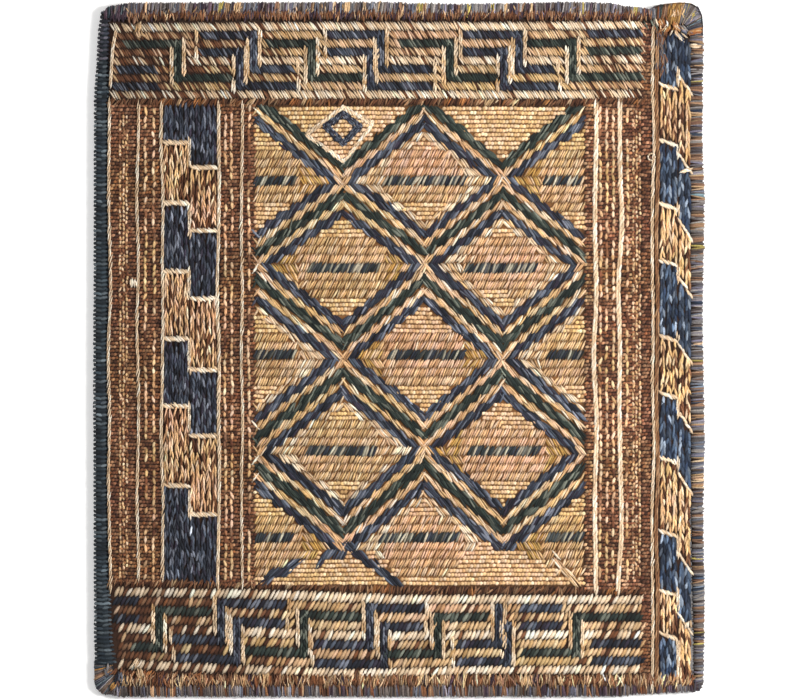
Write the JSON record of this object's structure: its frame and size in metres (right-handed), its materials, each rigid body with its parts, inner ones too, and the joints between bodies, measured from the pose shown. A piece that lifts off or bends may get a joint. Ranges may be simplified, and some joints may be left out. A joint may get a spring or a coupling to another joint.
{
  "type": "kilim saddle bag",
  "caption": "Flat woven wool pouch of a saddle bag: wrapped lozenge field, meander borders, stepped side borders and bound edges, open at one end.",
  "frame": {"origin": "middle of the bag's outline, at the underside of the back panel it lies on", "axes": "+Z out of the patterned face, +Y toward the mouth, +X to the right as the face is read"},
  "size_m": [0.2914, 0.331, 0.0168],
  "materials": {
    "back_wool": "matt plain-woven wool",
    "brown_wool": "matt brown wool, ribbed plain weave",
    "corner_wool": "matt orange, yellow and brown wool strands",
    "edge_wool": "matt grey-blue and mixed wool strands",
    "green_wool": "matt dark blue-green wool, slanting wrapped stitches",
    "indigo_wool": "matt dark blue wool, slanting wrapped stitches",
    "mouth_wool": "matt grey-blue and rust wool strands",
    "selvedge_wool": "matt dark blue wool, tightly wrapped",
    "tan_wool": "matt hand-spun wool, fine horizontal ribs"
  },
  "bodies": {
    "root": {"back_panel": "back_wool", "bottom_binding": "edge_wool", "bottom_inner_bar": "indigo_wool", "bottom_inner_z_1": "indigo_wool", "bottom_inner_z_2": "indigo_wool", "bottom_inner_z_3": "indigo_wool", "bottom_left_end": "indigo_wool", "bottom_middle_z_1": "green_wool", "bottom_middle_z_2": "green_wool", "bottom_middle_z_3": "green_wool", "bottom_middle_z_4": "green_wool", "bottom_outer_bar": "indigo_wool", "bottom_outer_z_1": "indigo_wool", "bottom_outer_z_2": "indigo_wool", "bottom_outer_z_3": "indigo_wool", "bottom_right_end": "indigo_wool", "brown_ground": "brown_wool", "corner_fold": "corner_wool", "field_bar_1": "green_wool", "field_bar_10": "green_wool", "field_bar_11": "green_wool", "field_bar_12": "green_wool", "field_bar_13": "green_wool", "field_bar_2": "green_wool", "field_bar_3": "green_wool", "field_bar_4": "green_wool", "field_bar_5": "green_wool", "field_bar_6": "green_wool", "field_bar_7": "green_wool", "field_bar_8": "green_wool", "field_bar_9": "green_wool", "front_panel": "tan_wool", "lattice": "indigo_wool", "left_block_1": "indigo_wool", "left_block_2": "indigo_wool", "left_block_3": "indigo_wool", "left_block_4": "indigo_wool", "left_selvedge": "selvedge_wool", "mouth_binding": "mouth_wool", "right_binding": "edge_wool", "right_block_1": "indigo_wool", "right_block_2": "indigo_wool", "right_block_3": "indigo_wool", "right_block_4": "indigo_wool", "right_block_5": "indigo_wool", "right_block_6": "indigo_wool", "small_diamond": "indigo_wool", "top_inner_z_1": "indigo_wool", "top_inner_z_2": "indigo_wool", "top_inner_z_3": "indigo_wool", "top_left_end": "indigo_wool", "top_middle_z_1": "green_wool", "top_middle_z_2": "green_wool", "top_middle_z_3": "green_wool", "top_middle_z_4": "green_wool", "top_outer_z_1": "indigo_wool", "top_outer_z_2": "indigo_wool", "top_outer_z_3": "indigo_wool", "top_right_end": "indigo_wool"}
  },
  "joints": []
}
